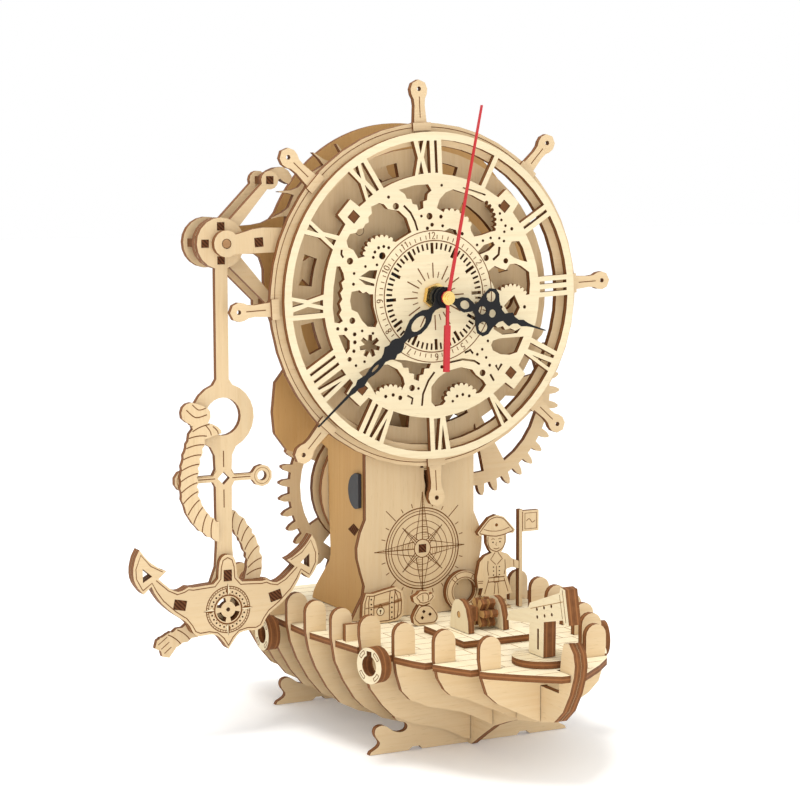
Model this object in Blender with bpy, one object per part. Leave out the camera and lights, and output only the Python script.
"""Ship-shaped wooden clock kit: a plate-built hull, a tower, an open gear train,
a ship's-wheel dial with three hands and an anchor pendulum.

Frame: X runs right across the dial, the dial faces -Y (the bow), +Y is the stern,
Z is up.  The origin is on the ship's centre plane, under the flat of the keel.
All numbers below are millimetres; the meshes are built in metres.
"""
import math

import bmesh
import bpy
from mathutils import Matrix, Vector

MM = 0.001
PLY = 3.0            # thickness of one plywood sheet
GAP = 0.3            # clearance between two pieces that touch
TURN = math.tau / 360.0

# main axes
DIAL_Z = 200.6       # height of the dial's axis
WHEEL_TURN = -2.7    # the whole ship's wheel is turned this far, degrees clockwise
PIVOT = (-96.5, 226.2)       # pendulum's pivot, x and z
SECOND_AXIS = (34.7, 151.3)  # middle wheel of the train
GREAT_AXIS = (0.0, 105.3)    # great wheel and drum
ESCAPE_AXIS = (-31.0, 230.8)  # escape wheel, between the dial's axis and the pendulum
CANNON_Y = -115.5
WINDLASS = (-57.0, 60.5)     # windlass axle, y and z

# depth of each plate, front face (y)
DIAL_Y = -18.0
RIM_Y = -12.0
FRONT_Y = -4.0
ANCHOR_Y = -0.6
ROD_Y = 2.7
ESCAPE_Y = 6.0
MIDDLE_Y = 11.5
CENTRE_Y = 16.0
PALLET_BACK_Y = 19.3
BACK_PLATE_Y = 25.5
TOWER_BACK_Y = 31.0
DRUM_Y = 37.0
GREAT_Y = 50.5

# deck and hull
DECK_Z = 46.7        # underside of the main deck
DECK_TOP = DECK_Z + PLY
POST_WIDTH = 10.0
KEEL_TOP = 40.0

for old in list(bpy.data.objects):
    bpy.data.objects.remove(old, do_unlink=True)


# ---------------------------------------------------------------- materials
SLOTS = {
    "birch_ply": ((0.80, 0.66, 0.46), 0.62, 0.0),
    "pale_ply": ((0.88, 0.78, 0.60), 0.60, 0.0),
    "tan_ply": ((0.68, 0.50, 0.31), 0.64, 0.0),
    "bar_wood": ((0.50, 0.31, 0.17), 0.66, 0.0),
    "brass": ((0.86, 0.66, 0.26), 0.28, 1.0),
    "black_metal": ((0.035, 0.037, 0.04), 0.42, 0.0),
    "red_metal": ((0.62, 0.025, 0.03), 0.38, 0.0),
    "black_plastic": ((0.02, 0.02, 0.022), 0.5, 0.0),
}


def own_material(name, slot):
    """A Principled material that belongs to this piece alone."""
    colour, roughness, metallic = SLOTS[slot]
    material = bpy.data.materials.new(name + "_" + slot)
    material.use_nodes = True
    shader = material.node_tree.nodes["Principled BSDF"]
    shader.inputs["Base Color"].default_value = (*colour, 1.0)
    shader.inputs["Roughness"].default_value = roughness
    shader.inputs["Metallic"].default_value = metallic
    return material


# ---------------------------------------------------------------- 2-D shapes
def arc(cu, cv, radius, start, end, steps):
    """Points on an arc, angles in degrees counted from +u towards +v."""
    points = []
    for step in range(steps + 1):
        angle = (start + (end - start) * step / steps) * TURN
        points.append((cu + radius * math.cos(angle), cv + radius * math.sin(angle)))
    return points


def disc(cu, cv, radius, sides=32):
    return arc(cu, cv, radius, 0, 360, sides)[:-1]


def square(cu, cv, side, turn=0.0):
    """A square whose sides are turned by turn degrees."""
    return arc(cu, cv, side / math.sqrt(2), turn + 45, turn + 405, 4)[:-1]


def mirrored(half, axis=0.0):
    """Close a half outline by its mirror image across u = axis."""
    other = [(2 * axis - u, v) for u, v in reversed(half) if abs(u - axis) > 1e-6]
    return list(half) + other


def clock(radius, degrees, sideways=0.0):
    """A dial point: degrees clockwise from the top, plus a sideways step."""
    angle = degrees * TURN
    return (radius * math.sin(angle) + sideways * math.cos(angle),
            DIAL_Z + radius * math.cos(angle) - sideways * math.sin(angle))


def smooth(points, steps=3, closed=True):
    """A curve through the points (Catmull-Rom), closed or from end to end."""
    count = len(points)
    result = []
    for index in range(count if closed else count - 1):
        places = [index + k - 1 for k in range(4)]
        if not closed:
            places = [min(max(place, 0), count - 1) for place in places]
        p0, p1, p2, p3 = [Vector(points[place % count]) for place in places]
        for step in range(steps):
            t = step / steps
            point = 0.5 * (2 * p1 + (p2 - p0) * t + (2 * p0 - 5 * p1 + 4 * p2 - p3) * t ** 2
                           + (3 * p1 - p0 - 3 * p2 + p3) * t ** 3)
            result.append((point.x, point.y))
    if not closed:
        result.append(tuple(points[-1]))
    return result


def strip(centre_line, width):
    """A band of constant width along an open line of points."""
    left = []
    right = []
    for index, point in enumerate(centre_line):
        before = Vector(centre_line[max(index - 1, 0)])
        after = Vector(centre_line[min(index + 1, len(centre_line) - 1)])
        along = (after - before).normalized()
        across = Vector((-along.y, along.x)) * width / 2
        left.append((point[0] + across.x, point[1] + across.y))
        right.append((point[0] - across.x, point[1] - across.y))
    return left + right[::-1]


def sector(cu, cv, inner, outer, start, end, steps):
    """An opening between two radii and two angles."""
    return arc(cu, cv, outer, start, end, steps) + arc(cu, cv, inner, end, start, steps)


def cog_arc(cu, cv, root, tip, start, end, teeth):
    """A toothed arc: one tooth per step, ending on the root radius."""
    points = []
    pitch = (end - start) / teeth
    for tooth in range(teeth):
        base = start + tooth * pitch
        for radius, share in ((root, 0.0), (tip, 0.3), (tip, 0.7)):
            angle = (base + share * pitch) * TURN
            points.append((cu + radius * math.cos(angle), cv + radius * math.sin(angle)))
    points.append((cu + root * math.cos(end * TURN), cv + root * math.sin(end * TURN)))
    return points


def gear(cu, cv, teeth, root, tip, phase, widths):
    """A gear outline; widths are pairs (share of the tooth's height, angular width as a share
    of the tooth pitch) and phase is the angle of one tooth's centre."""
    pitch = 360.0 / teeth
    flank = [(root + (tip - root) * height, width) for height, width in widths]
    outline = []
    for tooth in range(teeth):
        centre = phase + tooth * pitch
        for radius, side in [(r, -w) for r, w in flank] + [(r, w) for r, w in reversed(flank)]:
            angle = (centre + side / 2 * pitch) * TURN
            outline.append((cu + radius * math.cos(angle), cv + radius * math.sin(angle)))
    return outline


def reach(angle, shapes, origin):
    """Distance from origin to the far side of the joined shapes along an angle.
    A shape is (u, v, radius) or a convex list of corners."""
    direction = Vector((math.cos(angle * TURN), math.sin(angle * TURN)))
    best = 0.0
    for shape in shapes:
        if isinstance(shape, tuple):
            offset = Vector(shape[:2]) - Vector(origin)
            along = offset.dot(direction)
            beside = offset.length_squared - along ** 2
            if beside < shape[2] ** 2:
                best = max(best, along + math.sqrt(shape[2] ** 2 - beside))
            continue
        for first, second in zip(shape, shape[1:] + shape[:1]):
            start = Vector(first) - Vector(origin)
            edge = Vector(second) - Vector(first)
            turn = direction.cross(edge)
            if abs(turn) < 1e-9:
                continue
            share = start.cross(direction) / turn
            if 0.0 <= share <= 1.0:
                best = max(best, start.cross(edge) / turn)
    return best


def thinned(points, tolerance):
    """Drop the points that lie within tolerance of the line between their neighbours."""
    first = Vector(points[0])
    last = Vector(points[-1])
    along = (last - first).normalized()
    farthest, place = 0.0, 0
    for index in range(1, len(points) - 1):
        distance = abs((Vector(points[index]) - first).cross(along))
        if distance > farthest:
            farthest, place = distance, index
    if farthest <= tolerance:
        return [points[0], points[-1]]
    return thinned(points[:place + 1], tolerance)[:-1] + thinned(points[place:], tolerance)


def joined(shapes, origin, start, end, tolerance=0.12):
    """Outline of several shapes that can all be seen from origin."""
    count = round((end - start) / 0.5)
    outline = []
    for index in range(count + 1):
        angle = start + (end - start) * index / count
        distance = reach(angle, shapes, origin)
        outline.append((origin[0] + distance * math.cos(angle * TURN),
                        origin[1] + distance * math.sin(angle * TURN)))
    return thinned(outline, tolerance)


# ---------------------------------------------------------------- solids
PLANES = {
    "x": Matrix(((0, 0, 1, 0), (1, 0, 0, 0), (0, 1, 0, 0), (0, 0, 0, 1))),
    "y": Matrix(((1, 0, 0, 0), (0, 0, -1, 0), (0, 1, 0, 0), (0, 0, 0, 1))),
    "z": Matrix.Identity(4),
}


def finish(name, mesh, slot):
    """Weld, face outward and put the mesh in the scene as a named piece."""
    work = bmesh.new()
    work.from_mesh(mesh)
    bmesh.ops.remove_doubles(work, verts=work.verts, dist=0.002 * MM)
    bmesh.ops.triangulate(work, faces=work.faces)
    bmesh.ops.recalc_face_normals(work, faces=work.faces)
    if work.calc_volume(signed=True) < 0:
        bmesh.ops.reverse_faces(work, faces=work.faces)
    work.to_mesh(mesh)
    work.free()
    mesh.materials.clear()
    mesh.materials.append(own_material(name, slot))
    mesh.name = name
    piece = bpy.data.objects.new(name, mesh)
    bpy.context.scene.collection.objects.link(piece)
    return piece


def sheet_mesh(outline, holes, plane, start, thick):
    """A flat plate cut to an outline, between start and start + thick along the plane's axis."""
    curve = bpy.data.curves.new("outline", "CURVE")
    curve.dimensions = "2D"
    curve.fill_mode = "BOTH"
    curve.extrude = thick * MM / 2
    for ring in [outline] + list(holes):
        spline = curve.splines.new("POLY")
        spline.points.add(len(ring) - 1)
        for point, (u, v) in zip(spline.points, ring):
            point.co = (u * MM, v * MM, 0, 1)
        spline.use_cyclic_u = True
    drawing = bpy.data.objects.new("outline", curve)
    mesh = bpy.data.meshes.new_from_object(drawing)
    bpy.data.objects.remove(drawing, do_unlink=True)
    mesh.transform(PLANES[plane])
    shift = Vector((0, 0, 0))
    shift["xyz".index(plane)] = (start + thick / 2) * MM
    mesh.transform(Matrix.Translation(shift))
    return mesh


def sheet(name, plane, start, outline, holes=(), thick=PLY, slot="birch_ply"):
    return finish(name, sheet_mesh(outline, holes, plane, start, thick), slot)


def lathe(name, axis, profile, centre, sides=32, slot="birch_ply"):
    """A turned piece: profile is (place along the axis, radius) from end to end,
    centre the two other coordinates, in X, Y, Z order.  A radius may also be a
    function of the angle, for a section that isn't round."""
    work = bmesh.new()
    rings = []
    for along, radius in profile:
        ring = []
        for side in range(1 if radius == 0 else sides):
            angle = side * math.tau / sides
            reached = radius(side) if callable(radius) else radius
            a = centre[0] + reached * math.cos(angle)
            b = centre[1] + reached * math.sin(angle)
            place = {"x": (along, a, b), "y": (a, along, b), "z": (a, b, along)}[axis]
            ring.append(work.verts.new(Vector(place) * MM))
        rings.append(ring)
    for first, second in zip(rings, rings[1:]):
        for side in range(sides):
            nxt = (side + 1) % sides
            corners = [first[side % len(first)], first[nxt % len(first)],
                       second[nxt % len(second)], second[side % len(second)]]
            unique = list(dict.fromkeys(corners))
            if len(unique) > 2:
                work.faces.new(unique)
    mesh = bpy.data.meshes.new(name)
    work.to_mesh(mesh)
    work.free()
    return finish(name, mesh, slot)


def combine(piece, others, operation="UNION"):
    """Join or cut with exact booleans; the cutters stay hidden in the file."""
    for other in others:
        cut = piece.modifiers.new(other.name, "BOOLEAN")
        cut.operation = operation
        cut.solver = "EXACT"
        cut.object = other
        other.hide_render = True
        other.display_type = "WIRE"
    bpy.context.view_layer.update()
    graph = bpy.context.evaluated_depsgraph_get()
    solid = bpy.data.meshes.new_from_object(piece.evaluated_get(graph))
    name = piece.name
    slot = piece.data.materials[0].name.removeprefix(name + "_")
    for done in [piece] + list(others):
        bpy.data.objects.remove(done, do_unlink=True)
    return finish(name, solid, slot)


def joint_empty(name, place):
    """An empty on a joint's axis."""
    pivot = bpy.data.objects.new(name, None)
    pivot.empty_display_size = 0.01
    pivot.location = Vector(place) * MM
    bpy.context.scene.collection.objects.link(pivot)
    return pivot


def hang(pivot, pieces):
    """Parent the pieces to their joint's empty without moving them."""
    bpy.context.view_layer.update()
    for piece in pieces:
        piece.parent = pivot
        piece.matrix_parent_inverse = pivot.matrix_world.inverted()


# ---------------------------------------------------------------- hull
# half width of the main deck (y, x)
DECK_EDGE = ((-141.5, 6.0), (-131, 19), (-121, 29.2), (-110, 36), (-101, 41), (-87, 47.6),
             (-76, 51.0), (-60, 55.6), (-35, 59.5), (-15, 62.6), (20, 62.8), (50, 62.0),
             (70, 59.5), (87.6, 56.0))

# one half of each rib, from the keel out to the rail (x, z), by its front face (y)
FULL_SIDE = ((14, 4.5), (26, 7), (38, 10.5), (47, 15), (53.6, 23), (59.3, 33),
             (62.6, 41.5), (64.2, 50))
RIBS = (
    (-117.0, 24.5, ((6.4, 26.5), (17.6, 32), (22.5, 34.5), (27.5, 39), (29.9, 46), (31.1, 54))),
    (-96.5, 21.5, ((5.5, 22.8), (10, 25), (17.3, 28.4), (25.7, 32.4), (33.8, 35), (36.8, 37.7),
                   (39.9, 43), (41.7, 51))),
    (-76.0, 13.8, ((5.2, 15.4), (11.6, 18.7), (17.4, 21.4), (25.7, 23.5), (33.2, 25.3),
                   (42.8, 29.6), (46.9, 34), (49.3, 42), (50.5, 51))),
    (-55.5, 2.4, ((5.2, 3.3), (14, 7.9), (21.7, 10.6), (30, 12.5), (40.5, 17.4), (46, 23),
                  (51.8, 31), (55.2, 42), (56.9, 55))),
    (-35.0, 1.8, ((5, 2.5), (14, 5), (25, 8), (36, 11.5), (45, 17.4), (49.6, 22), (55.2, 31),
                  (59.2, 40), (61, 51))),
    (-14.5, 1.6, FULL_SIDE),
    (6.0, 1.6, FULL_SIDE),
    (26.5, 1.6, FULL_SIDE),
    (47.0, 1.8, tuple((x * 0.985, z + 0.5) for x, z in FULL_SIDE)),
    (67.5, 2.4, tuple((x * 0.955, z + 2.5 * (1 - z / 60)) for x, z in FULL_SIDE)),
    (88.0, 14.0, tuple((x * 0.90, 13.5 + z * 0.74) for x, z in FULL_SIDE)),
)
POST_TOP = 64.0


def rib(number, front, foot, side):
    """A frame of the hull with a rounded post at each side; it straddles the keel."""
    outer = side[-1][0]
    shoulder = POST_TOP - POST_WIDTH / 2
    slot_half = PLY / 2 + GAP
    half = [(slot_half, KEEL_TOP + GAP), (slot_half, foot)]
    half += list(side)
    half += arc(outer - POST_WIDTH / 2, shoulder, POST_WIDTH / 2, 0, 180, 8)
    half.append((outer - POST_WIDTH, DECK_Z - GAP))
    return sheet(f"rib_{number:02d}", "y", front, mirrored(half))


def edge_at(y):
    for (y0, x0), (y1, x1) in zip(DECK_EDGE, DECK_EDGE[1:]):
        if y0 <= y <= y1:
            return x0 + (x1 - x0) * (y - y0) / (y1 - y0)
    return DECK_EDGE[-1][1]


def main_deck():
    """The deck plate, notched for every rib post and for the stem at its tip."""
    stops = [(y, x) for y, x in DECK_EDGE]
    for front, _, side in RIBS[:-1]:
        inner = side[-1][0] - POST_WIDTH - GAP
        low = front - GAP
        high = front + PLY + GAP
        stops = [stop for stop in stops if not low - 0.5 <= stop[0] <= high + 0.5]
        stops += [(low, edge_at(low)), (low + 1e-4, inner), (high - 1e-4, inner), (high, edge_at(high))]
    stops.sort()
    right = [(x, y) for y, x in stops]
    left = [(-x, y) for x, y in reversed(right)]
    stem_left = -PLY / 2 - GAP
    stem_right = PLY * 1.5 + 2 * GAP
    notch = [(stem_left, -141.5), (stem_left, -130.0), (stem_right, -130.0), (stem_right, -141.5)]
    return sheet("main_deck", "z", DECK_Z, right + left + notch, slot="pale_ply")


FOOT_FRONT_Y = -52.2
FOOT_REAR_Y = 50.3
FOOT_SLOT_Z = 6.0
STEM_FRONT = ((-116.5, 24), (-128, 26.6), (-135, 32.5), (-140.4, 41), (-143.6, 49), (-144.4, 54),
              (-143.2, 59), (-139.5, 62.8))


def keel():
    """Centre plate with the stem at the bow and slots for both feet."""
    slots = []
    for foot in (FOOT_REAR_Y, FOOT_FRONT_Y):
        slots += [(foot + PLY + GAP, 0), (foot + PLY + GAP, FOOT_SLOT_Z + GAP),
                  (foot - GAP, FOOT_SLOT_Z + GAP), (foot - GAP, 0)]
    outline = [(-135.5, 62), (-133.5, 56), (-132.5, 48), (-131.8, KEEL_TOP), (88, KEEL_TOP), (92, 34),
               (91, 20), (87, 8), (80, 0)]
    outline += slots
    outline += [(-56, 0), (-66, 6.5), (-77, 13.3), (-88, 17.6), (-97, 20.6)]
    outline += STEM_FRONT
    return sheet("keel", "x", -PLY / 2, outline)


def stem_doubler():
    """Second layer of the stem, beside the keel plate, ahead of the first rib."""
    outline = [(-117.6, 24), (-117.6, 34), (-124, 35.5), (-129, 41), (-132, 48), (-133.2, 55),
               (-135.2, 61.5)]
    outline += reversed(STEM_FRONT[1:])
    return sheet("stem_doubler", "x", PLY / 2 + GAP, outline)


def foot(name, front):
    """A stand across the keel with scrolled ends, a flat sole and two shallow notches."""
    scroll = smooth([(50.2, 1.4), (46.8, 3.2), (45.8, 5.2), (47.6, 7.6), (48.4, 9.8), (47.6, 12), (45, 12.9),
                     (42.2, 12), (39.6, 10), (36, 8.8), (33, 9.4), (32, 11.2), (33.2, 13), (36.5, 14),
                     (38.4, 15.8), (37, 17.6)], 2, closed=False)
    half = [(0, 0), (24.5, 0), (26, 1.5), (29.5, 1.5), (31.5, 0), (51, 0)]
    half += scroll + [(20, 17.4), (1.8, 17), (1.8, FOOT_SLOT_Z), (0, FOOT_SLOT_Z)]
    return sheet(name, "y", front, mirrored(half))


def life_ring(name, x, y, z, yaw):
    """A double-layer life ring hung on the hull's side, turned yaw degrees about Z."""
    hole = arc(0, 0, 4.6, 110, 430, 14) + [(1.6, 6.4), (-1.6, 6.4)]
    mesh = sheet_mesh(disc(0, 0, 8.0, 28), [hole], "x", -PLY, 2 * PLY)
    mesh.transform(Matrix.Translation(Vector((x, y, z)) * MM) @ Matrix.Rotation(yaw * TURN, 4, "Z"))
    return finish(name, mesh, "pale_ply")


keel()
stem_doubler()
for order, (rib_front, rib_foot, rib_side) in enumerate(RIBS, 1):
    rib(order, rib_front, rib_foot, rib_side)
main_deck()
foot("foot_front", FOOT_FRONT_Y)
foot("foot_rear", FOOT_REAR_Y)
life_ring("life_ring_left_fore", -57.3, -70.0, 45.5, 15)
life_ring("life_ring_right_fore", 57.3, -70.0, 45.5, -15)
life_ring("life_ring_left_aft", -68.2, 20.0, 43.3, 0)
life_ring("life_ring_right_aft", 68.2, 20.0, 43.3, 0)


# ---------------------------------------------------------------- deck furniture
PLATFORM = ((-17.0, -77.3), (21.0, -77.3), (21.0, -39.6), (-17.0, -39.6))
sheet("fore_platform", "z", DECK_TOP + GAP, PLATFORM, slot="pale_ply")
PLATFORM_TOP = DECK_TOP + GAP + PLY
STAND_Z = DECK_TOP + GAP     # where pieces stand on the deck

CHEST = ((-34.6, STAND_Z), (-22, STAND_Z), (-17, 50.6), (-14.4, 52.8), (-13.9, 59.5), (-14.8, 64.2),
         (-18.2, 66.4), (-23, 65.6), (-30, 64.2), (-33.6, 64.6), (-35.2, 60), (-35.6, 53))
sheet("treasure_chest", "y", -14.0, CHEST)

BAG = ((-13.5, STAND_Z), (-5, STAND_Z), (-2.9, 52.5), (-3.3, 55.4), (-6.2, 58.6), (-7.6, 60.4),
       (-4.4, 62.6), (-5.4, 64.6), (-7.6, 64.0), (-8.0, 65.8), (-12.4, 66.0), (-13.4, 64.8),
       (-16.0, 63.6), (-15.4, 61.2), (-12.8, 59.4), (-14.6, 57.0), (-16.0, 54.0), (-15.4, 51.2))
sheet("money_bag", "y", -27.0, BAG)

sheet("deck_ring", "y", -7.6, disc(21.5, STAND_Z + 9.7, 9.7, 28), [disc(21.5, STAND_Z + 9.7, 6.0, 20)],
      thick=3.2)

# a plain standing captain who holds a flag on a straight pole
CAPTAIN = ((37, 95.5), (41, 94.2), (44.5, 90.6), (47.2, 87.6), (46.2, 86.0), (42.4, 86.4), (42.2, 82.0),
           (40.6, 78.6), (39.6, 77.4), (43.2, 76.2), (45.2, 74.0), (49.4, 72.2), (49.4, 97), (51.2, 97),
           (51.2, 96.2), (60.2, 96.2), (60.2, 86.2), (51.2, 86.2), (51.2, STAND_Z), (49.4, STAND_Z),
           (49.4, 68.6), (45.4, 69.6), (42.6, 69.0), (42.2, 67.0), (45.6, 57.2), (42.4, 56.6),
           (42.6, 51.8), (45.0, 51.2), (45.0, STAND_Z), (38.2, STAND_Z), (38.0, 56.4), (36.0, 56.4),
           (35.8, STAND_Z), (29.0, STAND_Z), (29.0, 51.2), (31.4, 51.8), (31.6, 56.6), (28.6, 57.2),
           (29.6, 60.8), (27.0, 61.0), (26.4, 66.0), (28.0, 73.4), (30.8, 76.2), (34.4, 77.4),
           (33.4, 78.6), (31.8, 82.0), (31.6, 86.4), (27.8, 86.0), (26.8, 87.6), (29.5, 90.6), (33, 94.2))
sheet("captain", "y", -11.1, CAPTAIN)


def windlass():
    """Two arched cheeks and a drum with two spoked wheels that turns between them."""
    y, z = WINDLASS
    base = PLATFORM_TOP + GAP
    arch = [(y - 9, base), (y - 8.6, z - 2), (y - 6.5, z + 3.5), (y - 3.5, z + 6.2), (y, z + 7.0),
            (y + 3.5, z + 6.2), (y + 6, z + 3.5), (y + 7.8, z - 2), (y + 8.5, base)]
    bore = disc(y, z, 1.55, 16)
    for name, left in (("windlass_cheek_left", -8.5), ("windlass_cheek_right", 9.3)):
        sheet(name, "x", left, arch, [bore], slot="pale_ply")
    sides = 24

    def block(side):
        angle = side * math.tau / sides
        return 3.1 / max(abs(math.cos(angle)), abs(math.sin(angle)))

    def spokes(side):
        return (7.0, 6.4, 2.6, 6.4)[side % 4]

    axle = 1.4
    profile = [(-8.3, 0), (-8.3, axle)]
    for start, end, section in ((-4.6, -0.4, block), (0.8, 3.8, spokes), (5.0, 8.0, spokes)):
        profile += [(start, axle), (start, section), (end, section), (end, axle)]
    profile += [(12.1, axle), (12.1, 0)]
    drum = lathe("windlass_drum", "x", profile, (y, z), sides, "tan_ply")
    hang(joint_empty("windlass_axis", (0, y, z)), [drum])


def cannon():
    """A swivel gun cut from a double sheet, standing on a round base."""
    lathe("cannon_base", "z", ((STAND_Z, 0), (STAND_Z, 13), (STAND_Z + PLY, 13), (STAND_Z + PLY, 0)),
          (0, CANNON_Y), 40, "pale_ply")
    foot_z = STAND_Z + PLY + GAP
    side = [(-90.5, 63.8), (-92.5, 68.3), (-108.6, 72.4), (-110.2, 75), (-134.2, 83.4),
            (-135.3, 86), (-138.8, 85.4), (-142, 70.9), (-138.8, 70.2), (-137.4, 72.4), (-121.8, 68.7),
            (-121.5, foot_z), (-109.3, foot_z), (-110, 66.2)]
    slots = [[(-117.8, 56), (-116.4, 56), (-116.4, 65), (-117.8, 65)]]
    for y, z in ((-116, 73.2), (-121.9, 74.9), (-127.8, 76.6), (-116.4, 69.9), (-122.4, 71.5),
                 (-128.3, 73.1)):
        slots.append(disc(y, z, 0.8, 8))
    gun = sheet("cannon_gun", "x", -PLY, side, slots, thick=2 * PLY, slot="pale_ply")
    hang(joint_empty("cannon_axis", (0, CANNON_Y, foot_z)), [gun])


windlass()
cannon()


# ---------------------------------------------------------------- tower and plates
ORIGIN = (0.0, DIAL_Z)
SPACER_RADIUS = 55.0
SPACER_SIDE = 4.0
PANEL_HALF = 28.5
PLATE_RADIUS = 67.5


def spacer_places():
    return [clock(SPACER_RADIUS, WHEEL_TURN + 45 + 90 * k) for k in range(4)]


def tower_front():
    """The compass panel below and the round movement plate above, with the pendulum's arm."""
    neck_top = 138
    half = [(36, DECK_TOP + GAP), (33.4, 55), (30, 61), (29.2, 66), (31, 72), (32.8, 79), (33, 84),
            (31.2, 91), (PANEL_HALF, 97), (PANEL_HALF, neck_top)]
    start = math.degrees(math.atan2(neck_top - DIAL_Z, PANEL_HALF))
    round_part = arc(0, DIAL_Z, PLATE_RADIUS, start + 2, 151.4, 30)
    round_part += [(-70.8, 232.9), (-79, 233.1), (-84, 232.4), (-90, 230.7)]
    round_part += arc(*PIVOT, 6.0, 42, 308, 12) + [(-90, 221.5), (-76, 221.9)]
    round_part += arc(0, DIAL_Z, PLATE_RADIUS, 161.6, 178 - start, 10)
    left = [(-x, z) for x, z in reversed(half)]
    holes = [disc(0, DIAL_Z, 2.3, 12), disc(*PIVOT, 2.3, 12), disc(*ESCAPE_AXIS, 2.3, 12),
             disc(45, 197, 5, 16), sector(0, DIAL_Z, 43.0, 48.0, 12, 62, 8),
             [(0.1, 119.5), (1.6, 119.5), (1.6, 122), (0.1, 122)],
             [(1.8, 118.4), (1.8, 115), (2.6, 111), (2.2, 107), (3.2, 104), (5.3, 102.8), (4.4, 106.5),
              (4.6, 110), (4.2, 114), (3.6, 118.4)]]
    for hour in range(12):
        middle = 90 - (WHEEL_TURN + 15 + 30 * hour)
        if hour % 3 != 1:
            holes.append(sector(0, DIAL_Z, 55.5, 62.0, middle - 6.6, middle + 6.6, 3))
    return sheet("tower_front", "y", FRONT_Y, half + round_part + left, holes)


def tower_side(name, left):
    """A side wall; the right one is slotted for the middle wheel."""
    front = FRONT_Y + PLY + GAP
    top = [(front, 136)]
    if left > 0:
        top = [(20, 136), (20, 98.5), (10.3, 98.5), (10.3, 136), (front, 136)]
    outline = [(front, DECK_TOP + GAP), (56, DECK_TOP + GAP), (54, 54), (49.5, 59), (43, 65), (36.5, 71),
               (34.5, 75), (35.4, 88), (36.2, 100), (36.5, 118), (37, 125.6), (43, 127.4), (46.5, 130.5),
               (46, 136)]
    return sheet(name, "x", left, outline + top, slot="tan_ply")


def tower_back():
    inner = PANEL_HALF - PLY - GAP
    outline = [(-inner, DECK_TOP + GAP), (inner, DECK_TOP + GAP), (inner, 134), (-inner, 134)]
    return sheet("tower_back", "y", TOWER_BACK_Y, outline, [disc(*GREAT_AXIS, 2.6, 16)], slot="tan_ply")


def back_plate():
    """The rear movement plate: bearings for every arbor, the pendulum's arm and the left ear."""
    inner = PANEL_HALF - PLY - GAP
    shapes = [(3.6, 210.6, 69.5), (SECOND_AXIS[0], SECOND_AXIS[1], 8.0)]
    bracket = [(-62.4, 236), (-66.1, 234.3), (-71.3, 233.4), (-78, 233), (-90, 231.2)]
    bracket += arc(*PIVOT, 6.0, 44, 310, 12)
    bracket += [(-88, 220.8), (-76.7, 220.2), (-70, 220), (-67.6, 218.2), (-66.6, 215.4)]
    shapes.append([(20, 165), (26, 143), (42, 150), (38, 172)])
    shapes.append([(-29, 137.5), (-44, 124.5), (-55, 128), (-61, 136), (-62, 146), (-60.5, 160),
                   (-54, 168), (-40, 180), (-20, 170)])
    start = math.degrees(math.atan2(142 - DIAL_Z, inner))
    end = 180 + math.degrees(math.atan2(DIAL_Z - 137.5, 29.0))
    round_part = joined(shapes, ORIGIN, start, 147.4) + bracket + joined(shapes, ORIGIN, 169.5, end)
    left = [(-29.0, 137.4), (-inner, 137.4), (-inner, 60)]
    holes = [disc(0, DIAL_Z, 2.3, 12), disc(*PIVOT, 2.3, 12), disc(*SECOND_AXIS, 2.3, 12),
             disc(*GREAT_AXIS, 2.6, 12), disc(*ESCAPE_AXIS, 2.3, 12)]
    outline = [(inner, 60)] + round_part + left
    return sheet("back_plate", "y", BACK_PLATE_Y, outline, holes, slot="tan_ply")


tower_front()
tower_side("tower_left", -PANEL_HALF)
tower_side("tower_right", PANEL_HALF - PLY)
tower_back()
back_plate()
plug = [(0.2, 118), (3.5, 118.2)] + arc(2.6, 109.6, 8.4, 70, -70, 10) + [(3.5, 101.3), (0.2, 102.2)]
sheet("side_plug", "x", -PANEL_HALF - GAP - 1.6, plug, thick=1.6, slot="black_plastic")


# ---------------------------------------------------------------- ship's-wheel dial
NUMERAL_IN = 55.9
NUMERAL_OUT = 71.5
NUMERALS = ("XII", "I", "II", "III", "IV", "V", "VI", "VII", "VIII", "IX", "X", "XI")
THICK = 2.3
THIN = 1.7
STROKE_GAP = 1.4
LETTER_WIDTH = {"I": THICK, "V": 6.6, "X": 6.8}


def numeral_edges(text):
    """The left and right outlines of each letter, in steps across (t) and out (share 0..1),
    and the closed windows inside the letters."""
    total = sum(LETTER_WIDTH[letter] for letter in text) + STROKE_GAP * (len(text) - 1)
    place = -total / 2
    letters = []
    for letter in text:
        wide = LETTER_WIDTH[letter]
        right = place + wide
        centre = place + wide / 2
        if letter == "I":
            letters.append(([(place, 0), (place, 1)], [(right, 0), (right, 1)], []))
        elif letter == "V":
            window = [(centre + 0.2, 0.24), (place + THICK, 0.98), (right - THIN, 0.98)]
            letters.append(([(centre - 1.3, 0), (place, 1)], [(centre + 1.3, 0), (right, 1)], [window]))
        else:
            waist = 1.5
            left_edge = [(place, 0), (centre - waist, 0.5), (place, 1)]
            right_edge = [(right, 0), (centre + waist, 0.5), (right, 1)]
            low = [(place + THIN, 0.02), (centre, 0.40), (right - THICK, 0.02)]
            high = [(place + THICK, 0.98), (centre, 0.60), (right - THIN, 0.98)]
            letters.append((left_edge, right_edge, [low, high]))
        place = right + STROKE_GAP
    return letters


def numeral_point(hour_angle, step, share):
    """From numeral coordinates to the dial; both ends lie on the two rings."""
    radius = NUMERAL_IN + share * (NUMERAL_OUT - NUMERAL_IN)
    return clock(math.sqrt(radius ** 2 - step ** 2), hour_angle, step)


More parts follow.
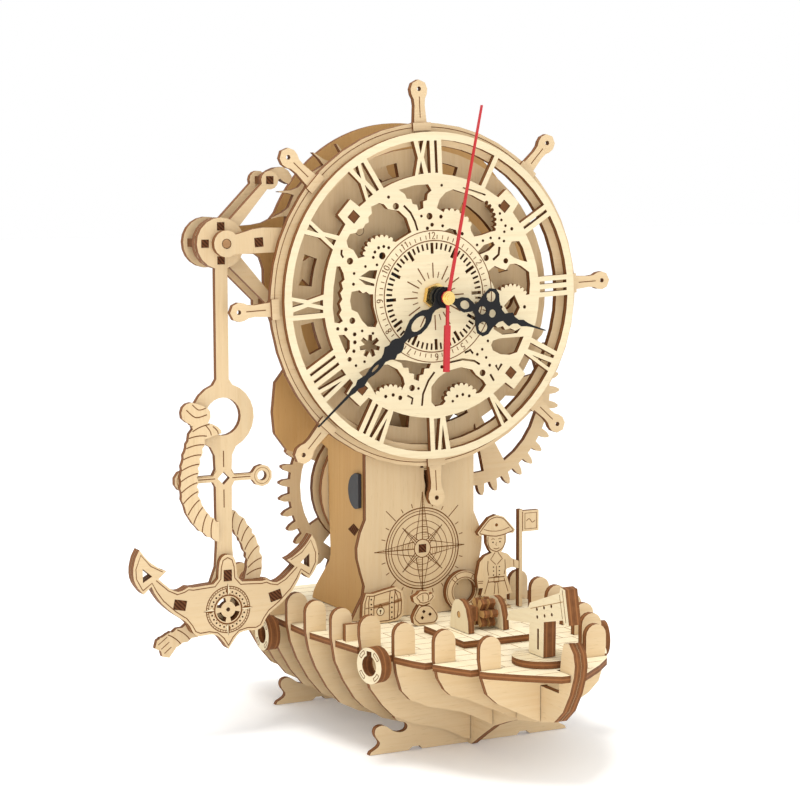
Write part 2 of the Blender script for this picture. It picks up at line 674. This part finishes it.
def ring_arc(first, second, radius, steps):
    """Points between two points of a ring, going clockwise when second lies clockwise."""
    start = math.atan2(first[0], first[1] - DIAL_Z) / TURN
    end = math.atan2(second[0], second[1] - DIAL_Z) / TURN
    turn = (end - start + 180) % 360 - 180
    return [clock(radius, start + turn * k / steps) for k in range(1, steps)]


def numeral_holes():
    """Every opening of the numeral band: slits inside a numeral, windows, and the gaps between."""
    holes = []
    edges = []
    for hour, text in enumerate(NUMERALS):
        angle = WHEEL_TURN + 30 * hour
        letters = numeral_edges(text)
        for left, right, windows in letters:
            edges.append((angle, left, right))
            holes += [[numeral_point(angle, t, s) for t, s in window] for window in windows]
        for (_, right, _), (left, _, _) in zip(letters, letters[1:]):
            inset = [numeral_point(angle, t, min(max(s, 0.03), 0.97)) for t, s in right]
            back = [numeral_point(angle, t, min(max(s, 0.03), 0.97)) for t, s in reversed(left)]
            holes.append(inset + back)
        last = letters[-1][1]
        following = numeral_edges(NUMERALS[(hour + 1) % 12])[0][0]
        right_side = [numeral_point(angle, t, s) for t, s in last]
        left_side = [numeral_point(angle + 30, t, s) for t, s in reversed(following)]
        outer = ring_arc(right_side[-1], left_side[0], NUMERAL_OUT, 4)
        inner = ring_arc(left_side[-1], right_side[0], NUMERAL_IN, 4)
        if hour % 3 == 1:
            middle = WHEEL_TURN + 30 * hour + 15
            inner = [clock(NUMERAL_IN, middle, 5.2), clock(61.5, middle, 4.6), clock(61.5, middle, -4.6),
                     clock(NUMERAL_IN, middle, -5.2)]
        holes.append(right_side + outer + left_side + inner)
    return holes


def fret_openings():
    """The larger openings of the steampunk fretwork between the hub and the numeral band."""
    return [
        [(-32, 242), (-28, 243.6), (-25.5, 243), (-23.5, 240.8), (-18, 240), (-14, 236.5), (-11.6, 230.2),
         (-16.5, 227.6), (-19.5, 225.9)]
        + cog_arc(-26.5, 219.5, 8.6, 9.8, 52, 178, 8)
        + [(-38.6, 219), (-41, 222.8), (-43.6, 224), (-44.4, 227), (-42.6, 230), (-39.6, 230.4),
           (-38.6, 232), (-36, 232.4), (-35, 234.2), (-33.2, 235), (-33.4, 237.4), (-31.6, 239)],
        [(-18, 249.4), (-10, 251.4), (-3, 251.8), (-1.2, 249), (-3.2, 247.4), (-3.6, 244.6), (-5.6, 244),
         (-5.4, 241), (-8, 240), (-8.8, 242.6), (-11, 243), (-11.6, 245.2), (-14, 245.4), (-14.8, 247.4)],
        [(1.5, 241), (3, 245), (6, 248), (10, 249.4), (16, 247.6), (20, 246.6), (24, 244.6)]
        + cog_arc(20.5, 234.0, 11.2, 12.4, 58, -22, 7)
        + [(29, 229.4), (25, 228.2), (21, 227.6), (19.4, 230), (18.8, 233)]
        + cog_arc(8.5, 228.5, 11.0, 12.2, 18, 108, 6),
        [(40, 219), (39.5, 222), (41, 225), (45, 225), (47, 222), (49.4, 215.2), (46, 216), (42, 217.5)],
        [(23, 220.5), (26, 223.5), (31, 225), (32, 223.5), (29, 221), (24, 219.2)],
        [(28.4, 211.5), (32, 213.8), (35, 212.5), (38, 211.7), (40, 214.4), (43, 214.6), (46, 213.5),
         (50.4, 210.5), (51, 205), (50.6, 200)]
        + cog_arc(41, 195, 9.0, 10.2, 32, 128, 7)
        + [(32, 203), (30.5, 206), (28.8, 208)],
        [(30, 177), (31, 179), (35, 180), (47.6, 180.3), (44, 173), (40, 172), (35, 172.5), (31, 174.5)],
        [(-1.5, 152), (-1.5, 159), (2, 163), (7, 166), (14, 167.4), (20, 166), (22, 163.5), (26, 160.5),
         (27.4, 158.5), (25, 155.5), (23.4, 154.8)]
        + cog_arc(14.5, 150.2, 8.6, 9.8, 32, 168, 8)
        + [(4.4, 150.4), (0.5, 149.8)],
        [(-38.6, 167.5), (-35, 169), (-30, 170.4), (-24, 170.4), (-19, 168), (-16, 164), (-15.2, 161)]
        + cog_arc(-22.5, 150.4, 9.6, 10.8, 54, 140, 6)
        + [(-33, 161.6)],
        [(-22, 172.6), (-15, 172), (-8, 170.4), (-1.6, 169.8), (-2.6, 167.6), (-5, 167.6), (-5.6, 165),
         (-7.6, 164.6), (-8, 162), (-10.6, 163), (-10.4, 165.4), (-13, 166), (-13.4, 168.4), (-16, 168.6),
         (-17, 170.8)],
        [(-42, 204), (-38, 204.6), (-36.4, 203.2), (-34.6, 203.8), (-33, 202.6), (-31.2, 202.6), (-31, 197),
         (-29, 190), (-30, 187.6), (-34, 188), (-37, 191), (-39, 194.6), (-42, 196), (-42.8, 200)],
        [(-37.6, 210.8), (-33, 213.4), (-29, 213.4), (-30, 209.4)],
        [(-38.6, 209.9), (-30.6, 207.3), (-30.6, 206.2), (-35, 207)],
        [(-50.6, 190.5), (-51.4, 197), (-51, 206), (-49.4, 215.6), (-47.6, 215.6), (-46, 212.4),
         (-45.4, 209.6), (-47, 208.2), (-46.2, 205.4), (-47.6, 203.6), (-46.6, 200.8), (-48, 198.8),
         (-47, 196), (-48.2, 194), (-46.4, 191), (-48, 190)],
        [(-48.6, 184.8), (-45.6, 184.8), (-43, 182), (-43, 178.4), (-44.8, 176.2), (-46.6, 180)],
        cog_arc(-33, 179.2, 2.6, 5.2, 10, 370, 7)[:-1],
        [(31.4, 187.2), (33.4, 185), (36.4, 185.6), (37.6, 183.8), (40.4, 184.4), (43, 183.2), (46, 184.4),
         (44, 182), (36, 181.6), (31.4, 184.4)],
        [(37, 195), (39.5, 197.6), (42.5, 200), (44, 197), (45.5, 194), (43.5, 190.4), (40.5, 190)],
        [(5.4, 230.4), (8, 231.6), (11.4, 230.8), (12.2, 228.6), (9, 229.6)],
        strip([(-15.5, 242.3), (-12, 239), (-9.8, 235), (-8.4, 230.9)], 1.0),
        strip([(15, 250.0), (20, 248.7), (27, 246.6)], 0.8),
        strip([(8, 169.9), (15, 171), (21, 170), (24, 168.3)], 1.0),
        strip([(-6.4, 150.5), (-5.8, 156), (-3, 162), (0.2, 165.8)], 1.0),
        strip([(-46.8, 223), (-47, 221), (-46, 219.4)], 1.0),
        strip([(34.4, 222.6), (34, 219), (31, 216.6)], 1.2),
        strip([(16, 174), (19, 175.2), (20.4, 173.4)], 1.1),
        strip([(32.6, 167.6), (33.8, 165.2), (35.8, 168)], 1.2),
        strip([(29.6, 163.4), (31.6, 160.2)], 1.1),
        strip([(-14, 155.6), (-11.2, 154.2), (-11.8, 151.4)], 1.0),
    ]


# small round holes of the fretwork (x, z, radius)
FRET_HOLES = (
    (-19.5, 242, 1.6), (-2.3, 237.3, 1.6), (-3.4, 231.8, 0.9), (-1, 233.4, 1.0), (4.5, 232.8, 0.8),
    (14.7, 229, 0.9), (3.6, 237.0, 1.0), (-23.2, 246.2, 0.8), (-26.5, 219.8, 1.7), (-28.3, 223.5, 0.8),
    (-25.7, 224, 0.8), (-23.2, 223.4, 0.8), (-30.2, 221.6, 0.8), (-31, 219.2, 0.8), (-42.7, 217.8, 1.6),
    (-41, 207.4, 0.8), (-41.7, 191, 1.5), (-45, 187.2, 1.0), (-49, 187.6, 0.9), (-40.6, 184.8, 1.0),
    (-40.5, 181.2, 1.0), (-41, 177.2, 0.9), (-43.2, 173.6, 1.1), (27.3, 217.6, 1.5), (37.8, 216, 1.3),
    (41, 230.8, 0.9), (35.3, 194.5, 0.9), (48.0, 194.2, 0.9), (22.7, 173, 0.8), (29.3, 167.6, 0.8),
    (25.5, 164.2, 1.6), (-25, 155.8, 0.9), (-21.2, 156.3, 0.9), (-17.6, 154.8, 1.1), (-11.5, 159, 1.5),
    (12, 154.0, 0.8), (15, 154.6, 0.8), (18.4, 153.8, 0.8), (4.0, 168.0, 0.9),
)


def minute_slots():
    slots = []
    for minute in range(60):
        angle = WHEEL_TURN + 6 * minute
        inner, half = (19.6, 0.75) if minute % 5 == 0 else (21.6, 0.5)
        slots.append([clock(inner, angle, -half), clock(24.6, angle, -half), clock(24.6, angle, half),
                      clock(inner, angle, half)])
    return slots


def dial_face():
    holes = numeral_holes() + fret_openings() + minute_slots()
    holes += [disc(x, z, r, 10 if r > 1 else 6) for x, z, r in FRET_HOLES]
    holes += [square(*place, SPACER_SIDE + 0.5, 45 - WHEEL_TURN) for place in spacer_places()]
    holes.append(disc(0, DIAL_Z, 4.4, 24))
    return sheet("dial_face", "y", DIAL_Y, disc(0, DIAL_Z, 75, 80), holes, slot="pale_ply")


def handle_wheel():
    """The rim behind the dial with its eight handles."""
    ring = []
    for handle in range(8):
        angle = WHEEL_TURN + 45 * handle
        grip = [(79.0, -4.5), (79.4, -3.2), (87, -2.6), (90, -2.9), (92, -3.9), (94.5, -4.3),
                (97.2, -3.2), (98.7, 0), (97.2, 3.2), (94.5, 4.3), (92, 3.9), (90, 2.9), (87, 2.6),
                (79.4, 3.2), (79.0, 4.5)]
        ring += [clock(radius, angle, side) for radius, side in grip]
        ring += [clock(79.0, angle + 22.5 + 16 * k / 4) for k in range(-4, 5, 2)]
    holes = [disc(0, DIAL_Z, 69, 48)]
    holes += [disc(*clock(94.5, WHEEL_TURN + 45 * k), 1.1, 8) for k in range(8)]
    return sheet("handle_wheel", "y", RIM_Y, ring, holes)


dial_face()
handle_wheel()
for count, spot in enumerate(spacer_places(), 1):
    sheet(f"dial_spacer_{count}", "y", DIAL_Y + 0.2, square(*spot, SPACER_SIDE, 45 - WHEEL_TURN),
          thick=FRONT_Y - DIAL_Y - 0.2 - GAP, slot="bar_wood")

MOVEMENT_HALF = 21.0
box = sheet("clock_movement", "y", -14.7, square(0, DIAL_Z, 2 * MOVEMENT_HALF), thick=10.4,
            slot="black_plastic")
post = lathe("post", "y", ((-22.6, 0), (-22.6, 4.0), (-12, 4.0), (-12, 0)), ORIGIN, 24, "black_plastic")
combine(box, [post])
sheet("clock_nut", "y", -21.2, arc(0, DIAL_Z, 6.2, 20, 380, 6)[:-1], [disc(0, DIAL_Z, 4.2, 24)], thick=2.9,
      slot="brass")


# ---------------------------------------------------------------- hands
def hand(name, front, thick, angle, profile, holes, slot, bend=0.0):
    """A clock hand: profile is (distance along, half width); angle is clockwise from the top.
    The part behind the hub may be bent by a few degrees."""
    def place(along, across):
        return clock(along, angle - bend if along < -2.2 else angle, across)
    outline = [place(r, w) for r, w in profile] + [place(r, -w) for r, w in reversed(profile) if w > 0]
    openings = [[place(r, w) for r, w in hole] for hole in holes]
    piece = sheet(name, "y", front, outline, openings, thick=thick, slot=slot)
    hang(joint_empty(name + "_axis", (0, front, DIAL_Z)), [piece])
    return piece


def oval(along, across, half_length, half_width, sides=14):
    return [(along + half_length * u, across + half_width * v) for u, v in disc(0, 0, 1, sides)]


HAND_THICK = 0.8
HOUR_ANGLE = 107.3
MINUTE_ANGLE = 228.8
SECOND_ANGLE = 11.4
HUB = [(-5, 0), (-4.3, 2.5), (-2.5, 4.3), (0, 5), (2.5, 4.3)]
hand("hour_hand", -25.0, HAND_THICK, HOUR_ANGLE,
     HUB + [(4.3, 2.4), (6.5, 1.3), (8.6, 1.7), (10.6, 3.0), (13.6, 3.5), (16.4, 2.4), (18, 1.6), (19.6, 3.2),
            (21.2, 7.4), (23.4, 10.8), (26.4, 11.4), (28.8, 9.6), (30.0, 6.4), (32.4, 3.0), (34.6, 1.7),
            (36.6, 2.6), (38.4, 3.3), (40.0, 1.7), (42.6, 0.9), (45.0, 1.6), (47.4, 0.9), (50.6, 0.5),
            (58, 0.25)],
     [oval(13.0, 0, 2.6, 2.0), oval(25.2, 7.3, 2.6, 2.5), oval(25.2, -7.3, 2.6, 2.5),
      oval(22.6, 0, 2.2, 1.9), oval(28.2, 0, 2.0, 1.9)], "black_metal")
hand("minute_hand", -28.0, HAND_THICK, MINUTE_ANGLE,
     HUB + [(4.3, 2.2), (7, 1.2), (9.4, 1.5), (12, 3.3), (15.5, 4.2), (19.5, 4.2), (23, 2.8), (26, 1.5),
            (28.4, 1.5), (30.4, 3.0), (32.4, 3.6), (34.4, 2.9), (36.8, 3.8), (38.8, 2.2), (41, 1.3),
            (45, 1.9), (49, 1.7), (52, 1.0), (54.2, 1.6), (56.4, 2.1), (58.6, 1.0), (61, 1.2), (64, 0.5),
            (84.3, 0.28)],
     [oval(17.4, 0, 4.6, 2.7), oval(46.6, 0, 2.4, 0.8)], "black_metal")
hand("second_hand", -32.0, 1.4, SECOND_ANGLE,
     [(-33.6, 0), (-33.6, 1.4), (-12.5, 1.4), (-12.2, 0.6), (-3.2, 0.6), (-2.0, 2.3), (0, 3.1), (2.2, 2.3),
      (3.2, 0.62), (88.5, 0.3)], [], "red_metal", 10.0)


# ---------------------------------------------------------------- going train
WHEEL_TOOTH = ((0.0, 0.56), (0.62, 0.40), (1.0, 0.13))
PINION_TOOTH = ((0.0, 0.44), (1.0, 0.20))
MODULE = 2.4
ESCAPE_TEETH = 20
ESCAPE_FIRST = 153.4     # angle of one tip


def bearing(first, second):
    return math.degrees(math.atan2(second[1] - first[1], second[0] - first[0]))


def escape_outline():
    """Thin saw teeth that lean over, one per step."""
    pitch = 360 / ESCAPE_TEETH
    outline = []
    for tooth in range(ESCAPE_TEETH):
        tip = ESCAPE_FIRST + tooth * pitch
        for radius, share in ((32.6, -0.60), (35.0, -0.30), (40.0, -0.015), (40.0, 0.015), (36.0, -0.12),
                              (32.6, -0.20)):
            angle = (tip + share * pitch) * TURN
            outline.append((ESCAPE_AXIS[0] + radius * math.cos(angle),
                            ESCAPE_AXIS[1] + radius * math.sin(angle)))
    return outline


def windows(place, hub, rim, spokes):
    """The openings between the spokes of a wheel."""
    step = 360 / spokes
    return [sector(*place, hub, rim, step * k + 12, step * (k + 1) - 6, 5) for k in range(spokes)]


def spoked_gear(name, place, teeth, front, phase, rim, hub, bore):
    """A gear of the common module with five windows; without a bore its middle is solid."""
    pitch_radius = MODULE * teeth / 2
    outline = gear(*place, teeth, pitch_radius - 3.0, pitch_radius + 2.3, phase, WHEEL_TOOTH)
    holes = windows(place, hub, rim, 5)
    if bore:
        holes.append(disc(*place, bore, 12))
    return sheet(name, "y", front, outline, holes)


def arbor(name, place, start, end, pinion_front, pinion_phase, wheels=(), slot="bar_wood"):
    """A turned arbor with a ten-leaf pinion and any wheels fixed on it."""
    radius = 2.0
    shaft = lathe(name, "y", ((start, 0), (start, radius), (end, radius), (end, 0)), place, 18, slot)
    leaves = gear(*place, 10, 8.4, 13.9, pinion_phase, PINION_TOOTH)
    pinion = sheet("pinion", "y", pinion_front, leaves)
    return combine(shaft, [pinion] + list(wheels))


to_middle = bearing(GREAT_AXIS, SECOND_AXIS)
to_centre = bearing(SECOND_AXIS, ORIGIN)
to_escape = bearing(ORIGIN, ESCAPE_AXIS)
half_leaf = 18.0
rear_end = BACK_PLATE_Y + PLY
centre_disc = spoked_gear("centre_disc", ORIGIN, 26, CENTRE_Y, to_escape, 25, 16, 0)
centre = arbor("centre_wheel", ORIGIN, FRONT_Y, rear_end, MIDDLE_Y, to_centre + 180 + half_leaf,
               [centre_disc], "birch_ply")
saw = sheet("saw", "y", ESCAPE_Y, escape_outline(), windows(ESCAPE_AXIS, 9.4, 28, 5))
escape = arbor("escape_wheel", ESCAPE_AXIS, FRONT_Y, rear_end, CENTRE_Y, to_escape + 180 + half_leaf,
               [saw], "birch_ply")
middle = spoked_gear("middle_wheel", SECOND_AXIS, 40, MIDDLE_Y, to_centre, 39, 12, 2.2)
middle_arbor = arbor("middle_arbor", SECOND_AXIS, 10.0, GREAT_Y + PLY + 1, GREAT_Y,
                     to_middle + 180 + half_leaf)
great = spoked_gear("great_wheel", GREAT_AXIS, 38, GREAT_Y, to_middle, 37, 20, 2.7)
drum = lathe("winding_drum", "y",
             ((BACK_PLATE_Y, 0), (BACK_PLATE_Y, 2.3), (DRUM_Y, 2.3), (DRUM_Y, 32), (DRUM_Y + PLY, 32),
              (DRUM_Y + PLY, 14), (GREAT_Y - GAP - PLY, 14), (GREAT_Y - GAP - PLY, 32),
              (GREAT_Y - GAP, 32), (GREAT_Y - GAP, 2.4), (GREAT_Y + PLY + 3, 2.4), (GREAT_Y + PLY + 3, 0)),
             GREAT_AXIS, 36)
hang(joint_empty("escape_axis", (ESCAPE_AXIS[0], ESCAPE_Y, ESCAPE_AXIS[1])), [escape])
hang(joint_empty("centre_axis", (0, CENTRE_Y, DIAL_Z)), [centre])
hang(joint_empty("middle_axis", (SECOND_AXIS[0], MIDDLE_Y, SECOND_AXIS[1])), [middle, middle_arbor])
hang(joint_empty("great_axis", (GREAT_AXIS[0], GREAT_Y, GREAT_AXIS[1])), [great, drum])


# ---------------------------------------------------------------- pendulum
ANCHOR_CROWN = [(0, 86.2), (1.6, 85.9), (2.8, 85.0), (3.8, 83.2), (4.3, 80.4), (4.6, 75.5)]
ANCHOR_ARM = smooth([(7, 73.2), (12, 72.9), (17.0, 72.6), (19, 73), (20.8, 72.1), (24, 71.3), (28, 73.2),
                     (33.2, 77.9)], 2, closed=False)
ANCHOR_ARM.append((29.4, 81.2))
ANCHOR_ARM += smooth([(32, 82.2), (36.6, 85.4), (39.6, 88.4), (42, 91.8)], 2, closed=False)
ANCHOR_ARM += smooth([(43.8, 88.4), (45, 83.6), (44.8, 78.6), (43, 74.8), (40.4, 71.6)], 2, closed=False)
ANCHOR_ARM += [(39.2, 72.6), (36.6, 74.8)]
ANCHOR_ARM += smooth([(35.4, 72), (31.8, 66.6), (26, 61.2), (20.8, 57.6), (18.4, 54.8), (16.8, 51.6), (14, 50.1),
                      (9.4, 50.4), (5.6, 49.6), (3.0, 47.0), (0, 42.8)], 2, closed=False)
FLUKE_HOLE = ((36.2, 79.4), (40.6, 76.8), (40.6, 83.2))
RING_Z = 148.5
GUARD_Z = 120.5


def shifted(points):
    return [(u + PIVOT[0], v) for u, v in points]


def anchor_plate():
    """The front layer of the anchor: fluke windows, three tenon slots and the cut compass."""
    outline = shifted(mirrored(ANCHOR_CROWN + ANCHOR_ARM))
    holes = [shifted(FLUKE_HOLE), shifted([(-u, v) for u, v in FLUKE_HOLE])]
    compass = (PIVOT[0], 61.0)
    for quarter in range(4):
        holes.append(sector(*compass, 3.6, 5.8, quarter * 90 + 14, quarter * 90 + 76, 4))
    holes.append(disc(*compass, 1.0, 10))
    return sheet("anchor_plate", "y", ANCHOR_Y, outline, holes)


def pendulum_rod():
    """Hub disc, rod, ring, cross-guard and the rear layer of the anchor in one plate."""
    half = arc(0, PIVOT[1], 11.5, 90, -75, 9)
    half += [(3, 213), (3, 165.4), (4.4, 163.2)]
    half += arc(0, RING_Z, 15, 72, -66, 9)
    half += [(4.2, 131), (3.9, 124.6), (5.2, 122), (13, 122)]
    half += arc(18.8, GUARD_Z, 5, 160, -160, 9)
    half += [(13, 119), (5.2, 119), (3.9, 116.6), (3.7, 90), (4.4, 80)]
    half += ANCHOR_ARM
    holes = [disc(PIVOT[0], PIVOT[1], 2.2, 12), disc(PIVOT[0], RING_Z, 8.6, 24),
             square(PIVOT[0], GUARD_Z, 4.2, 45)]
    holes += [disc(PIVOT[0] + side * 18.8, GUARD_Z, 2.3, 12) for side in (-1, 1)]
    holes += [shifted(FLUKE_HOLE), shifted([(-u, v) for u, v in FLUKE_HOLE])]
    holes.append(disc(PIVOT[0], 61, 6.4, 16))
    return sheet("pendulum_rod", "y", ROD_Y, shifted(mirrored(half)), holes)


UPPER_PALLET = (-71.0, 254.0)
LOWER_PALLET = (-70.0, 198.2)
HOOK = ((-73, 252.2), (-73, 256), (-69.5, 258.4), (-66.5, 259.6), (-63, 259.9), (-60.4, 258.2), (-58.6, 255.6),
        (-58.9, 253.7), (-60.2, 252.1), (-62.6, 253.2), (-64.5, 254.6), (-68, 252.4))
PALLET_ARMS = ((UPPER_PALLET, 47.5, 1.8), (LOWER_PALLET, 313.4, 2.3))


def pallet_outline():
    """The hub's disc with one slim arm up and one arm down, each ending in a round pad."""
    points = []
    for turn, (end, heading, half) in enumerate(PALLET_ARMS):
        following = PALLET_ARMS[1 - turn]
        neck = math.degrees(math.asin(half / 4.2))
        root = math.degrees(math.asin(1.5 * half / 11.5))
        stop = following[1] - math.degrees(math.asin(1.5 * following[2] / 11.5)) + 360 * turn
        points += arc(*end, 4.2, heading - 180 + neck, heading + 180 - neck, 12)
        points += arc(*PIVOT, 11.5, heading + root, stop, 14)
    return points


def pallet_frame():
    """The front pallet plate with the hooked upper pallet and the bars at both arm ends."""
    plate = sheet("pallet_frame", "y", ESCAPE_Y, pallet_outline(), [disc(*PIVOT, 2.2, 12)])
    middle = ESCAPE_Y + PLY
    extras = [sheet("hook", "y", middle + GAP, HOOK, thick=5.0)]
    for spot in (UPPER_PALLET, LOWER_PALLET):
        length = PALLET_BACK_Y - GAP - middle + 1
        extras.append(sheet("end_bar", "y", middle - 1, square(*spot, 3.4), thick=length))
    return combine(plate, extras)


def back_disc():
    """The rear pallet plate and the four square bars that hold it off the front one."""
    front = ESCAPE_Y + PLY + GAP
    plate = sheet("pendulum_back_disc", "y", PALLET_BACK_Y, pallet_outline(), [disc(*PIVOT, 2.2, 12)])
    bars = []
    for quarter, spot in enumerate(disc(*PIVOT, 7.6, 4)):
        bars.append(sheet(f"bar_{quarter}", "y", front, square(*spot, 3.6), thick=PALLET_BACK_Y - front + 1))
    return combine(plate, bars)


ROPE_TWIST = ((-113.5, 152), (-108.5, 146), (-110.5, 139), (-113.2, 130), (-114.4, 121), (-113.6, 112),
              (-110.4, 105), (-106.2, 100.4), (-101.2, 97.2), (-96, 95))
ROPE_TAIL = ((-93.4, 102.6), (-88.2, 98.2), (-83.6, 91), (-80.4, 80), (-84, 68), (-94, 59), (-104, 54),
             (-112.6, 51.2), (-119.6, 48.6), (-125.6, 46.0))
TWIST_STEP = 4.6


def rope_band(points, width):
    """A band whose edges bulge once per twist, half a twist apart on its two sides."""
    path = [Vector(point) for point in smooth(points, 6, closed=False)]
    left = []
    right = []
    run = 0.0
    mark = 0.0
    for index, point in enumerate(path):
        before = path[max(index - 1, 0)]
        after = path[min(index + 1, len(path) - 1)]
        run += (point - before).length
        if index and run < mark:
            continue
        mark = run + TWIST_STEP / 3.2
        along = (after - before).normalized()
        across = Vector((-along.y, along.x))
        phase = run / TWIST_STEP * math.pi
        near = width / 2 - 0.7 + 0.9 * abs(math.sin(phase))
        far = width / 2 - 0.7 + 0.9 * abs(math.cos(phase))
        left.append(tuple(point + across * near))
        right.append(tuple(point - across * far))
    return left + right[::-1]


def cut_right(outline, stop):
    """The part of an outline to the left of u = stop."""
    kept = []
    for (u0, v0), (u1, v1) in zip(outline, outline[1:] + outline[:1]):
        if u0 <= stop:
            kept.append((u0, v0))
        if (u0 <= stop) != (u1 <= stop):
            kept.append((stop, v0 + (v1 - v0) * (stop - u0) / (u1 - u0)))
    return kept


def ropes():
    """The flat rope: a knot and a sweep in front, and the end that runs behind to a frayed tail."""
    front = sheet("rope_front", "y", ANCHOR_Y, cut_right(rope_band(ROPE_TWIST, 8.4), PIVOT[0] - 4.0))
    knot = [sheet("knot", "y", ANCHOR_Y, smooth([(-117, 154), (-113, 156), (-107, 154), (-104, 151.5),
                                                 (-105, 146.5), (-112, 145.8), (-117.4, 149)], 2)),
            sheet("knot_end", "y", ANCHOR_Y, smooth([(-112, 143), (-106, 146.4), (-100.4, 144.4),
                                                     (-98.6, 141.6), (-102, 140.6), (-109, 139)], 2))]
    rear = sheet("rope_rear", "y", ESCAPE_Y, rope_band(ROPE_TAIL, 7.6))
    fray = sheet("fray", "y", ESCAPE_Y, [(-121.6, 52), (-128.4, 48.6), (-129.4, 45), (-126.6, 43.6),
                                         (-126, 41), (-122.6, 40.2), (-119.0, 44.8)])
    return [combine(front, knot), combine(rear, [fray])]


pendulum = [anchor_plate(), pendulum_rod(), pallet_frame(), back_disc()] + ropes()
pendulum.append(lathe("pendulum_arbor", "y", ((FRONT_Y - 0.8, 0), (FRONT_Y - 0.8, 1.4), (FRONT_Y, 2.0),
                                              (BACK_PLATE_Y + PLY, 2.0), (BACK_PLATE_Y + PLY, 0)),
                      PIVOT, 20, "bar_wood"))
hang(joint_empty("pendulum_axis", (PIVOT[0], ROD_Y, PIVOT[1])), pendulum)
